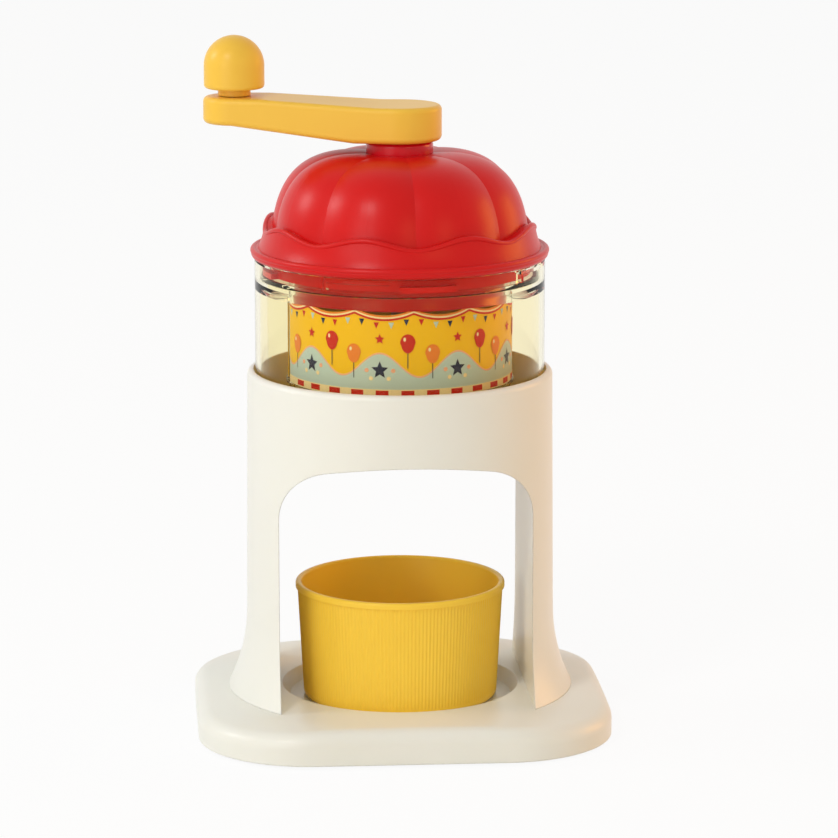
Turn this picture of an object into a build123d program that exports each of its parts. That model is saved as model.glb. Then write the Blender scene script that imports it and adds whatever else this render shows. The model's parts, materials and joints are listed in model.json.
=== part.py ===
from build123d import *
import os
from math import atan2, cos, degrees, hypot, pi, radians, sin, sqrt

# Hand-cranked ice shaver: a moulded stand with an arch for the cup, a clear case with the ice
# hopper inside, a lobed lid with a bayonet ring, a crank that turns a spiked presser on a
# telescoping square shaft, and the cup below. Millimetres, +Z up, front towards -Y.
# The origin lies on the crank axis in the plane of the table.

os.makedirs("parts", exist_ok=True)

# ---------------------------------------------------------------- driving dimensions

# Clearances
slip_gap = 0.3          # between pieces that move apart
running_fit = 0.05      # radial, on everything that turns
seat_fit = 0.1          # round a piece that is seated in a recess

# Base
base_width = 176.0
base_depth = 160.0
base_corner = 48.0
base_lift = 1.0         # lower edge above the table
base_top = 15.8         # flat land that carries the tower's feet
base_crown = 11.0       # fall of the crowned top from the land to the half diagonal
base_edge_round = 6.5
base_wall = 2.4
base_bottom_round = 0.8
land_radius = 74.0
recess_radius = 51.0    # mouth of the recess the cup stands in
recess_floor = 10.8
recess_flare = 3.5      # the recess wall leans out by this much
base_rib_pitch = 28.0
base_rib = 1.6
pad_radius = 7.0
pad_height = 3.2
pad_side_inset = 27.0
pad_front_inset = 22.0
pad_socket_wall = 2.0
pad_edge = 0.5

# Screws, shank and head radii
stand_shank = 1.5
stand_head = 3.0
stand_head_height = 2.2
stand_screw_length = 19.0
small_shank = 1.1
small_head = 2.1
small_head_height = 1.4

# Tower
tower_radius = 65.0     # at the rim
tower_spread = 0.9      # growth of the radius down to where the legs start to flare
tower_top = 154.0
tower_rim_round = 2.3
tower_wall = 2.6
flare_top = 50.0
foot_radius = 74.0
arch_width = 107.0
arch_top = 123.4        # at the crown
arch_crown_radius = 170.0
arch_corner = 24.0
leg_wall = 2.4
deck_thickness = 2.2
deck_opening = 49.0     # radius, clears the heads of the plate screws
chute_radius = 40.5     # bore of the clear case's floor
leg_boss_radius = 3.9
leg_boss_height = 20.0
leg_boss_x = 59.2
leg_boss_y = 14.0

# Clear case
case_radius = 61.6
case_play = 0.7         # between the case and the tower's ring
case_wall = 2.2
case_top = 201.7
case_floor = 2.2
ledge_top = 193.8
ledge_height = 2.2
ledge_depth = 3.0
track_count = 4
track_turn = 28.5       # degrees that one bayonet track covers
track_end = -98.0       # direction of the open end of the first track, front is -90
track_depth = 2.4
track_rib = 1.5
track_rib_top = 200.6
track_stop_turn = 1.6

# Ice hopper and its print
hopper_radius = 47.2
hopper_wall = 2.2
hopper_flange = 58.8
hopper_flange_height = 1.8
hopper_ridge_z = 148.6
hopper_ridge_height = 1.6
hopper_ridge_depth = 1.2
key_direction = 183.0   # direction of the key that stops the hopper turning
key_reach = 56.2
key_fin = 1.8
key_gap = 7.0
print_thickness = 0.4
print_top = 187.4
print_waves = 12
print_wave_depth = 2.6

# Blade
plate_thickness = 3.2
plate_radius = 46.8
blade_length = 35.0
blade_start = 2.0       # inner end of the blade from the axis
blade_width = 14.0
blade_thickness = 1.2
blade_tilt = 25.0
blade_rise = 0.5        # edge above the plate
blade_bevel = 0.9
slot_width = 4.6
blade_screw_grip = 3.6
blade_screw_inset = 8.0
plate_screw_count = 3
plate_screw_radius = 43.9
plate_screw_grip = 4.6

# Lid
lid_bottom = 202.0
flange_radius = 63.0
flange_height = 4.2
lobe_count = 8
lobe_radius = 55.6      # crest of a lobe from the crank axis
lobe_offset = 20.0      # axis of a lobe from the crank axis
lobe_height = 44.6
lobe_fullness = 0.70    # handle length of the lobe's outline, 0.55 is an ellipse
groove_direction = -86.5
lid_wall = 2.4
valance_radius = 57.4   # at the top of the wavy band
valance_foot = 60.0     # where the band runs out into the flange
valance_crest = 217.6
valance_trough = 213.4
lid_mouth = 52.4
lid_post_radius = 3.6
lid_post_height = 13.0
lid_screw_radius = 50.0
lid_screw_count = 4
lid_screw_length = 11.0
ring_plate = 2.4
skirt_radius = 47.6
skirt_wall = 2.4
lug_radius = 58.2
lug_turn = 24.0
lug_lead = 4.0          # degrees between a lug at rest and the track it turns into
lug_height = 2.4
collar_radius = 14.2
collar_seat = 243.4
collar_top = 251.4
collar_round = 1.6
bush_radius = 9.0
bush_flange_radius = 11.4
bush_flange = 1.5
bush_bottom = 236.0
boss_radius = 12.0

# Crank
crank_reach = 70.2
crank_direction = 170.0
hub_radius = 17.8
tip_radius = 13.2
hub_height = 15.1
tip_height = 11.4
arm_rise = 2.6          # top of the arm at the knob above its top at the hub
arm_round = 2.2
tube_radius = 6.5
tube_flat = 5.0         # half the width across the tube's keyed flats
socket_depth = 5.6
tube_web = 3.6
stem_side = 6.6
crank_screw_shank = 2.0
crank_screw_head = 3.1
crank_screw_head_height = 2.6
crank_screw_length = 11.0
washer_thickness = 1.0
washer_radius = 11.6
clip_thickness = 1.2
clip_radius = 9.0
clip_groove = 0.8
clip_opening = 60.0

# Presser
presser_radius = 40.0
presser_thickness = 3.0
presser_bottom = 136.0
presser_hub_radius = 8.4
presser_hub_height = 11.0
presser_travel = 34.0
presser_rib = 2.0
stem_overlap = 14.5     # length of stem left inside the tube at the lowest point
spike_height = 4.0
spike_radius = 2.2
spike_ring_radii = (17.0, 32.0)
spike_ring_counts = (6, 12)
presser_screw_length = 14.0
presser_screw_head = 3.0
spring_radius = 10.2
spring_wire = 0.8
spring_turns = 9

# Knob
knob_radius = 12.8
knob_height = 22.4
knob_neck_radius = 6.9
knob_neck_height = 3.0
knob_edge_round = 1.6
pin_radius = 3.0
pin_head_radius = 5.4
pin_head_height = 2.0
pin_length_in_knob = 15.0
pin_bore_gap = 1.0

# Cup
cup_rim_radius = 45.0
cup_wall_top_radius = 44.2
cup_bottom_radius = 41.7
cup_height = 50.4
cup_wall = 1.8
cup_bead_height = 2.6
cup_bottom_round = 2.4
cup_floor = 2.2

# ---------------------------------------------------------------- derived sizes

deck_top = arch_top + deck_thickness
ring_bore = case_radius + case_play
tower_foot = tower_radius + tower_spread
case_inside = case_radius - case_wall
plate_bottom = deck_top + case_floor
plate_top = plate_bottom + plate_thickness
hopper_inside = hopper_radius - hopper_wall
flange_top = ledge_top + hopper_flange_height
ring_bottom = lid_bottom - ring_plate
lug_bottom = flange_top + slip_gap
lug_start = track_end + lug_lead
hub_bottom = collar_top + slip_gap
hub_top = hub_bottom + hub_height
tip_top = hub_top + arm_rise
tip_bottom = tip_top - tip_height
tube_top = hub_bottom + socket_depth - seat_fit
tube_bore_top = tube_top - tube_web
washer_top = bush_bottom - slip_gap
clip_top = washer_top - washer_thickness
seat_washer_top = clip_top - clip_thickness
spring_top = seat_washer_top - washer_thickness
presser_top = presser_bottom + presser_thickness
tube_bottom = presser_top + presser_hub_height + presser_travel + slip_gap
stem_top = tube_bottom + stem_overlap
arch_half = arch_width / 2
half_diagonal = hypot(base_width, base_depth) / 2
base_ceiling = base_top - base_wall


def at(direction: float, radius: float, z: float = 0.0) -> Vector:
    """A point at a direction in degrees and a radius about the crank axis."""
    return Vector(radius * cos(radians(direction)), radius * sin(radians(direction)), z)


def upright(direction: float) -> Plane:
    """The upright plane through the crank axis whose x axis points in a direction."""
    return Plane(
        origin=(0, 0, 0),
        x_dir=at(direction, 1),
        z_dir=at(direction - 90, 1),
    )


# ---------------------------------------------------------------- base


def base_form(inset: float) -> Part:
    """The base's rounded square with a crowned top, drawn in all round by an inset."""
    with BuildPart() as form:
        with BuildSketch(Plane.XY.offset(base_lift)):
            RectangleRounded(base_width - 2 * inset, base_depth - 2 * inset, base_corner - inset)
        extrude(amount=base_top)
        with BuildSketch(Plane.XZ):
            with BuildLine():
                land = Line((0, base_top - inset), (land_radius, base_top - inset))
                crown = TangentArc(
                    land @ 1, (half_diagonal, base_top - inset - base_crown), tangent=(1, 0)
                )
                Polyline(crown @ 1, (half_diagonal, 0), (0, 0), land @ 0)
            make_face()
        revolve(axis=Axis.Z, mode=Mode.INTERSECT)
        sides = form.faces().filter_by(lambda face: abs(face.normal_at().Z) < 0.01)
        rim = sides.edges().filter_by(lambda edge: edge.center().Z > base_top / 2)
        rim = rim.filter_by(lambda edge: abs(edge.tangent_at(0.5).Z) < 0.5)
        fillet(rim, base_edge_round - inset)
    return form.part


pad_places = [
    (side * (base_width / 2 - pad_side_inset), end * (base_depth / 2 - pad_front_inset))
    for side in (-1, 1)
    for end in (-1, 1)
]
leg_screw_places = [
    (side * leg_boss_x, end * leg_boss_y) for side in (-1, 1) for end in (-1, 1)
]
recess_ceiling = recess_floor - base_wall

# Hollow under the shell: everything inside the wall, less the recess and the ribs.
with BuildPart() as base_hollow:
    add(base_form(base_wall))
    with BuildSketch(Plane.XZ):
        with BuildLine():
            Polyline(
                (0, recess_ceiling),
                (recess_radius - recess_flare + base_wall, recess_ceiling),
                (recess_radius + base_wall, base_top),
                (0, base_top),
                close=True,
            )
        make_face()
    revolve(axis=Axis.Z, mode=Mode.SUBTRACT)
    with BuildSketch(Plane.XY.offset(base_lift + pad_edge)):
        rib_columns = int(base_width / 2 / base_rib_pitch) * 2
        rib_rows = int(base_depth / 2 / base_rib_pitch) * 2
        with GridLocations(base_rib_pitch, 1, rib_columns, 1):
            Rectangle(base_rib, base_depth)
        with GridLocations(1, base_rib_pitch, 1, rib_rows):
            Rectangle(base_width, base_rib)
        with Locations(*pad_places):
            Circle(pad_radius + seat_fit + pad_socket_wall)
        with Locations(*leg_screw_places):
            Circle(stand_head + seat_fit + pad_socket_wall)
    extrude(amount=base_top, mode=Mode.SUBTRACT)

with BuildPart() as base_tray:
    add(base_form(0))
    bottom = base_tray.faces().sort_by(Axis.Z)[0]
    fillet(bottom.edges(), base_bottom_round)
    with BuildSketch(Plane.XZ):
        with BuildLine():
            Polyline(
                (0, recess_floor),
                (recess_radius - recess_flare, recess_floor),
                (recess_radius, base_top),
                (0, base_top),
                close=True,
            )
        make_face()
    revolve(axis=Axis.Z, mode=Mode.SUBTRACT)
    add(base_hollow.part, mode=Mode.SUBTRACT)
    with BuildSketch(Plane.XY):
        with Locations(*pad_places):
            Circle(pad_radius + seat_fit)
    extrude(amount=pad_height, mode=Mode.SUBTRACT)
    with BuildSketch(Plane.XY):
        with Locations(*leg_screw_places):
            Circle(stand_head + seat_fit)
    extrude(amount=base_ceiling, mode=Mode.SUBTRACT)
    with BuildSketch(Plane.XY):
        with Locations(*leg_screw_places):
            Circle(stand_shank + seat_fit)
    extrude(amount=base_top, mode=Mode.SUBTRACT)
base_tray.part.label = "base_tray"
export_step(base_tray.part, "parts/base_tray.step")

with BuildPart() as rubber_feet:
    with BuildSketch():
        with Locations(*pad_places):
            Circle(pad_radius)
    extrude(amount=pad_height)
    fillet(rubber_feet.edges().group_by(Axis.Z)[0], pad_edge)
rubber_feet.part.label = "rubber_feet"
export_step(rubber_feet.part, "parts/rubber_feet.step")

with BuildPart() as base_screws:
    with BuildSketch(Plane.XY.offset(base_ceiling - stand_head_height)):
        with Locations(*leg_screw_places):
            Circle(stand_head)
    extrude(amount=stand_head_height)
    fillet(base_screws.edges().group_by(Axis.Z)[0], stand_head_height / 3)
    with BuildSketch(Plane.XY.offset(base_ceiling)):
        with Locations(*leg_screw_places):
            Circle(stand_shank)
    extrude(amount=stand_screw_length)
base_screws.part.label = "base_screws"
export_step(base_screws.part, "parts/base_screws.step")

# ---------------------------------------------------------------- tower


def tower_form(inset: float, top: float) -> Part:
    """The tower's round outside down to the flared feet, drawn in by an inset."""
    with BuildPart() as form:
        with BuildSketch(Plane.XZ):
            with BuildLine():
                flare = TangentArc(
                    (tower_foot - inset, flare_top),
                    (foot_radius - inset, base_top),
                    tangent=(0, -1),
                )
                Polyline(
                    flare @ 1, (0, base_top), (0, top), (tower_radius - inset, top), flare @ 0
                )
            make_face()
        revolve(axis=Axis.Z)
    return form.part


# The arch's crown is a long arc that joins the corner arcs smoothly at join_x and join_z.
corner_x = arch_half - arch_corner
corner_z = arch_top - arch_crown_radius + sqrt((arch_crown_radius - arch_corner) ** 2 - corner_x**2)
join_x = arch_crown_radius * corner_x / (arch_crown_radius - arch_corner)
join_z = arch_top - arch_crown_radius + sqrt(arch_crown_radius**2 - join_x**2)

# Hollow of both legs, between the curved outer wall and the flat inner wall.
with BuildPart() as leg_hollows:
    add(tower_form(tower_wall, arch_top - leg_wall))
    with BuildSketch(Plane.XY.offset(base_top)):
        Rectangle(arch_width + 2 * leg_wall, 2 * foot_radius)
    extrude(amount=arch_top, mode=Mode.SUBTRACT)
    with BuildSketch(Plane.XY.offset(base_top)):
        with Locations(*leg_screw_places):
            Circle(leg_boss_radius)
    extrude(amount=leg_boss_height, mode=Mode.SUBTRACT)

with BuildPart() as stand_tower:
    add(tower_form(0, tower_top))
    fillet(stand_tower.edges().group_by(Axis.Z)[-1], tower_rim_round)
    with BuildSketch(Plane.XY.offset(deck_top)):
        Circle(ring_bore)
    extrude(amount=tower_top, mode=Mode.SUBTRACT)
    with BuildSketch(Plane.XY.offset(corner_z)):
        Circle(deck_opening)
    extrude(amount=deck_top - corner_z, mode=Mode.SUBTRACT)
    with BuildSketch(Plane.XZ):
        with BuildLine():
            ThreePointArc((-join_x, join_z), (0, arch_top), (join_x, join_z))
            RadiusArc((arch_half, corner_z), (join_x, join_z), -arch_corner)
            RadiusArc((-join_x, join_z), (-arch_half, corner_z), -arch_corner)
            Polyline(
                (arch_half, corner_z), (arch_half, 0), (-arch_half, 0), (-arch_half, corner_z)
            )
        make_face()
    extrude(amount=foot_radius, both=True, mode=Mode.SUBTRACT)
    add(leg_hollows.part, mode=Mode.SUBTRACT)
    with BuildSketch(Plane.XY.offset(base_top)):
        with Locations(*leg_screw_places):
            Circle(stand_shank + running_fit)
    extrude(amount=leg_boss_height - leg_wall, mode=Mode.SUBTRACT)
stand_tower.part.label = "stand_tower"
export_step(stand_tower.part, "parts/stand_tower.step")

# ---------------------------------------------------------------- clear case and hopper

with BuildPart() as outer_case:
    with BuildSketch(Plane.XZ):
        with BuildLine():
            Polyline(
                (chute_radius, deck_top),
                (case_radius, deck_top),
                (case_radius, case_top),
                (case_inside, case_top),
                (case_inside, ledge_top),
                (case_inside - ledge_depth, ledge_top),
                (case_inside - ledge_depth, ledge_top - ledge_height),
                (case_inside, ledge_top - ledge_height - ledge_depth),
                (case_inside, plate_bottom),
                (chute_radius, plate_bottom),
                close=True,
            )
        make_face()
    revolve(axis=Axis.Z)
    chamfer(
        outer_case.edges().filter_by(GeomType.CIRCLE).group_by(Axis.Z)[-1], case_wall / 4
    )
    for turn in range(track_count):
        start = track_end - track_turn + turn * 360 / track_count
        with BuildSketch(upright(start)):
            with Locations((case_inside, track_rib_top)):
                Rectangle(2 * track_depth, track_rib, align=(Align.CENTER, Align.MAX))
        revolve(axis=Axis.Z, revolution_arc=track_turn)
        with BuildSketch(upright(start)):
            with Locations((case_inside, track_rib_top)):
                Rectangle(
                    2 * track_depth, track_rib_top - lug_bottom, align=(Align.CENTER, Align.MAX)
                )
        revolve(axis=Axis.Z, revolution_arc=track_stop_turn)
    with BuildSketch(Plane.XY):
        Circle(case_radius)
    extrude(amount=case_top, mode=Mode.INTERSECT)
    with BuildSketch(Plane.XY.offset(deck_top)):
        with PolarLocations(plate_screw_radius, plate_screw_count, start_angle=90):
            Circle(small_shank + running_fit)
    extrude(amount=case_floor, mode=Mode.SUBTRACT)
outer_case.part.label = "outer_case"
export_step(outer_case.part, "parts/outer_case.step")

with BuildPart() as ice_hopper:
    with BuildSketch(Plane.XZ):
        with BuildLine():
            Polyline(
                (hopper_inside, plate_top),
                (hopper_radius, plate_top),
                (hopper_radius, hopper_ridge_z),
                (hopper_radius + hopper_ridge_depth, hopper_ridge_z + hopper_ridge_depth / 2),
                (hopper_radius + hopper_ridge_depth, hopper_ridge_z + hopper_ridge_height),
                (hopper_radius, hopper_ridge_z + hopper_ridge_height),
                (hopper_radius, ledge_top),
                (hopper_flange, ledge_top),
                (hopper_flange, flange_top),
                (hopper_inside, flange_top),
                close=True,
            )
        make_face()
    revolve(axis=Axis.Z)
    with BuildSketch(Plane.XY.offset(plate_top)):
        with Locations(Location(at(key_direction, 0), (0, 0, key_direction))):
            with Locations((0, key_gap / 2), (0, -key_gap / 2)):
                Rectangle(key_reach, key_fin, align=(Align.MIN, Align.CENTER))
        Circle(hopper_radius - hopper_wall / 2, mode=Mode.SUBTRACT)
    extrude(amount=ledge_top - plate_top)
ice_hopper.part.label = "ice_hopper"
export_step(ice_hopper.part, "parts/ice_hopper.step")

print_bottom = hopper_ridge_z + hopper_ridge_height
print_inside = hopper_radius + seat_fit
with BuildPart() as printed_sleeve:
    with BuildSketch(Plane.XY.offset(print_bottom)):
        Circle(print_inside + print_thickness)
        Circle(print_inside, mode=Mode.SUBTRACT)
        with Locations(Location(at(key_direction, 0), (0, 0, key_direction))):
            Rectangle(
                key_reach, key_gap + 2 * key_fin, align=(Align.MIN, Align.CENTER),
                mode=Mode.SUBTRACT,
            )
    extrude(amount=print_top - print_bottom)
    wave_chord = 2 * (print_inside + print_thickness) * sin(pi / print_waves)
    wave_radius = (wave_chord**2 / 4 + print_wave_depth**2) / (2 * print_wave_depth)
    for wave in range(print_waves):
        with BuildSketch(upright(key_direction + 90 + (wave + 0.5) * 360 / print_waves)):
            with Locations((0, print_top - print_wave_depth + wave_radius)):
                Circle(wave_radius)
        extrude(amount=case_radius, mode=Mode.SUBTRACT)
printed_sleeve.part.label = "printed_sleeve"
export_step(printed_sleeve.part, "parts/printed_sleeve.step")

# ---------------------------------------------------------------- blade plate and blade

# The blade lies along a radius; its plane leans back from an edge just above the plate.
blade_plane = Plane(
    origin=(blade_start, 0, plate_top + blade_rise),
    x_dir=(1, 0, 0),
    z_dir=(0, sin(radians(blade_tilt)), cos(radians(blade_tilt))),
)
blade_screw_places = [
    (blade_screw_inset, blade_width - blade_screw_grip),
    (blade_length - blade_screw_inset, blade_width - blade_screw_grip),
]
blade_under = blade_plane.offset(-blade_thickness)
blade_back = blade_width * cos(radians(blade_tilt))
plate_screw_places = [
    at(90 + turn * 360 / plate_screw_count, plate_screw_radius)
    for turn in range(plate_screw_count)
]

with BuildPart() as blade_plate:
    with BuildSketch(Plane.XY.offset(plate_bottom)):
        Circle(plate_radius)
    extrude(amount=plate_thickness)
    with BuildSketch(Plane.YZ.offset(blade_start)):
        with BuildLine():
            Polyline(
                (0, plate_bottom + running_fit),
                (blade_back, plate_bottom + running_fit),
                (blade_back, plate_top - blade_back * sin(radians(blade_tilt)) - blade_thickness),
                close=True,
            )
        make_face()
    extrude(amount=blade_length)
    with BuildSketch(Plane.XY.offset(plate_bottom)):
        with Locations((blade_start, 0)):
            Rectangle(blade_length, slot_width, align=(Align.MIN, Align.MAX))
    extrude(amount=plate_thickness, mode=Mode.SUBTRACT)
    with BuildSketch(blade_plane.offset(seat_fit)):
        with Locations((-seat_fit, 0)):
            Rectangle(blade_length + 2 * seat_fit, 2 * blade_width, align=(Align.MIN, Align.MIN))
    extrude(amount=-blade_width, mode=Mode.SUBTRACT)
    with BuildSketch(blade_plane.offset(-blade_thickness)):
        with Locations(*blade_screw_places):
            Circle(small_shank + running_fit)
    extrude(amount=blade_thickness + blade_screw_grip, mode=Mode.SUBTRACT)
    with BuildSketch(Plane.XY.offset(plate_bottom)):
        with Locations(*plate_screw_places):
            Circle(small_shank + running_fit)
    extrude(amount=plate_screw_grip - case_floor, mode=Mode.SUBTRACT)
blade_plate.part.label = "blade_plate"
export_step(blade_plate.part, "parts/blade_plate.step")

with BuildPart() as shaving_blade:
    with BuildSketch(blade_plane):
        Rectangle(blade_length, blade_width, align=(Align.MIN, Align.MIN))
    extrude(amount=-blade_thickness)
    under_edge = shaving_blade.edges().filter_by(Axis.X).group_by(Axis.Y)[0]
    chamfer(under_edge.sort_by(Axis.Z)[0], blade_bevel, 2 * blade_bevel)
    with BuildSketch(blade_plane):
        with Locations(*blade_screw_places):
            Circle(small_shank + running_fit)
    extrude(amount=-blade_thickness, mode=Mode.SUBTRACT)
shaving_blade.part.label = "shaving_blade"
export_step(shaving_blade.part, "parts/shaving_blade.step")

with BuildPart() as blade_screws:
    with BuildSketch(blade_under):
        with Locations(*blade_screw_places):
            Circle(small_head)
    extrude(amount=-small_head_height)
    with BuildSketch(blade_under):
        with Locations(*blade_screw_places):
            Circle(small_shank)
    extrude(amount=blade_thickness + blade_screw_grip - seat_fit)
blade_screws.part.label = "blade_screws"
export_step(blade_screws.part, "parts/blade_screws.step")

with BuildPart() as plate_screws:
    with BuildSketch(Plane.XY.offset(deck_top)):
        with Locations(*plate_screw_places):
            Circle(small_head)
    extrude(amount=-small_head_height)
    with BuildSketch(Plane.XY.offset(deck_top)):
        with Locations(*plate_screw_places):
            Circle(small_shank)
    extrude(amount=plate_screw_grip - seat_fit)
plate_screws.part.label = "plate_screws"
export_step(plate_screws.part, "parts/plate_screws.step")

# ---------------------------------------------------------------- lid


def lobed_form(inset: float) -> Part:
    """The lid's lobes, each turned about its own upright axis, drawn in by an inset."""
    radius = lobe_radius - lobe_offset - inset
    height = lobe_height - inset
    with BuildPart() as lobe:
        with BuildSketch(Plane.XZ):
            with BuildLine():
                outline = Bezier(
                    (radius, lid_bottom),
                    (radius, lid_bottom + lobe_fullness * height),
                    (lobe_fullness * radius, lid_bottom + height),
                    (0, lid_bottom + height),
                )
                Polyline(outline @ 1, (0, lid_bottom), outline @ 0)
            make_face()
        revolve(axis=Axis.Z)
    with BuildPart() as form:
        with PolarLocations(lobe_offset, lobe_count, start_angle=first_lobe):
            add(lobe.part)
    return form.part


lobe_turn = 360 / lobe_count
first_lobe = groove_direction + lobe_turn / 2
lid_screw_places = [
    at(first_lobe + turn * 360 / lid_screw_count, lid_screw_radius)
    for turn in range(lid_screw_count)
]
valance_top = lid_bottom + flange_height
wave_half = valance_radius * sin(radians(lobe_turn / 2))

with BuildPart() as valance:
    with BuildSketch(Plane.XZ):
        with BuildLine():
            cove = TangentArc(
                (valance_radius, valance_crest), (valance_foot, valance_top), tangent=(0, -1)
            )
            Polyline(
                cove @ 1,
                (valance_foot, lid_bottom),
                (lid_mouth, lid_bottom),
                (lid_mouth, valance_crest),
                cove @ 0,
            )
        make_face()
    revolve(axis=Axis.Z)
    for groove in range(lobe_count):
        across = groove_direction + groove * lobe_turn
        with BuildSketch(upright(across + 90)):
            with BuildLine():
                wave = Spline(
                    (-wave_half, valance_crest),
                    (0, valance_trough),
                    (wave_half, valance_crest),
                    tangents=[(1, 0), (1, 0)],
                )
                Polyline(
                    wave @ 1,
                    (wave_half, valance_crest + lid_wall),
                    (-wave_half, valance_crest + lid_wall),
                    wave @ 0,
                )
            make_face()
        extrude(amount=flange_radius, mode=Mode.SUBTRACT)

with BuildPart() as lid_dome:
    add(lobed_form(0))
    add(lobed_form(lid_wall), mode=Mode.SUBTRACT)
    with BuildSketch(Plane.XY.offset(collar_seat - lid_wall)):
        Circle(collar_radius + seat_fit + lid_wall)
    extrude(amount=lid_bottom + lobe_height - collar_seat)
    with BuildSketch(Plane.XY.offset(collar_seat)):
        Circle(collar_radius + seat_fit)
    extrude(amount=lobe_height, mode=Mode.SUBTRACT)
    add(valance.part)
    with BuildSketch(Plane.XZ):
        with BuildLine():
            Polyline(
                (lid_mouth, valance_top),
                (lid_mouth, lid_bottom),
                (flange_radius - flange_height / 2, lid_bottom),
            )
            ThreePointArc(
                (flange_radius - flange_height / 2, lid_bottom),
                (flange_radius, lid_bottom + flange_height / 2),
                (flange_radius - flange_height / 2, valance_top),
            )
            Line((flange_radius - flange_height / 2, valance_top), (lid_mouth, valance_top))
        make_face()
    revolve(axis=Axis.Z)
    with BuildSketch(Plane.XY.offset(lid_bottom)):
        with Locations(*lid_screw_places):
            Circle(lid_post_radius)
    extrude(amount=lid_post_height)
    with BuildSketch(Plane.XY.offset(bush_bottom)):
        Circle(boss_radius)
    extrude(amount=collar_seat - bush_bottom)
    with BuildSketch(Plane.XY.offset(bush_bottom)):
        Circle(bush_radius + running_fit)
    extrude(amount=lobe_height, mode=Mode.SUBTRACT)
    with BuildSketch(Plane.XY.offset(lid_bottom)):
        with Locations(*lid_screw_places):
            Circle(small_shank + running_fit)
    extrude(amount=lid_post_height - lid_wall, mode=Mode.SUBTRACT)
lid_dome.part.label = "lid_dome"
export_step(lid_dome.part, "parts/lid_dome.step")

with BuildPart() as lid_ring:
    with BuildSketch(Plane.XZ):
        with BuildLine():
            Polyline(
                (skirt_radius - skirt_wall, lid_bottom),
                (skirt_radius - skirt_wall, lug_bottom),
                (skirt_radius, lug_bottom),
                (skirt_radius, ring_bottom),
                (lug_radius - lug_height, ring_bottom),
                (lug_radius - lug_height, lid_bottom),
                close=True,
            )
        make_face()
    revolve(axis=Axis.Z)
    for turn in range(track_count):
        with BuildSketch(upright(lug_start + turn * 360 / track_count)):
            with Locations((skirt_radius - skirt_wall / 2, lug_bottom)):
                Rectangle(
                    lug_radius - skirt_radius + skirt_wall / 2,
                    lug_height,
                    align=(Align.MIN, Align.MIN),
                )
        revolve(axis=Axis.Z, revolution_arc=lug_turn)
    with BuildSketch(Plane.XY.offset(ring_bottom)):
        with Locations(*lid_screw_places):
            Circle(small_shank + running_fit)
    extrude(amount=ring_plate, mode=Mode.SUBTRACT)
lid_ring.part.label = "lid_ring"
export_step(lid_ring.part, "parts/lid_ring.step")

with BuildPart() as lid_screws:
    with BuildSketch(Plane.XY.offset(ring_bottom)):
        with Locations(*lid_screw_places):
            Circle(small_head)
    extrude(amount=-small_head_height)
    with BuildSketch(Plane.XY.offset(ring_bottom)):
        with Locations(*lid_screw_places):
            Circle(small_shank)
    extrude(amount=lid_screw_length)
lid_screws.part.label = "lid_screws"
export_step(lid_screws.part, "parts/lid_screws.step")

with BuildPart() as top_collar:
    with BuildSketch(Plane.XY.offset(collar_seat)):
        Circle(collar_radius)
    extrude(amount=collar_top - collar_seat)
    fillet(top_collar.edges().group_by(Axis.Z)[-1], collar_round)
    with BuildSketch(Plane.XY.offset(collar_top - bush_flange)):
        Circle(bush_flange_radius + running_fit)
    extrude(amount=bush_flange, mode=Mode.SUBTRACT)
    with BuildSketch(Plane.XY.offset(collar_seat)):
        Circle(bush_radius + running_fit)
    extrude(amount=collar_top, mode=Mode.SUBTRACT)
top_collar.part.label = "top_collar"
export_step(top_collar.part, "parts/top_collar.step")

with BuildPart() as shaft_bush:
    with BuildSketch(Plane.XY.offset(bush_bottom)):
        Circle(bush_radius)
    extrude(amount=collar_top - bush_bottom)
    with BuildSketch(Plane.XY.offset(collar_top - bush_flange)):
        Circle(bush_flange_radius)
    extrude(amount=bush_flange)
    with BuildSketch(Plane.XY.offset(bush_bottom)):
        Circle(tube_radius + running_fit)
    extrude(amount=collar_top, mode=Mode.SUBTRACT)
shaft_bush.part.label = "shaft_bush"
export_step(shaft_bush.part, "parts/shaft_bush.step")

# ---------------------------------------------------------------- crank and its shaft

arm_plane = Plane(origin=(0, 0, 0), x_dir=at(crank_direction, 1), z_dir=(0, 0, 1))
tip_centre = at(crank_direction, crank_reach)
socket_top = hub_bottom + socket_depth

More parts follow.
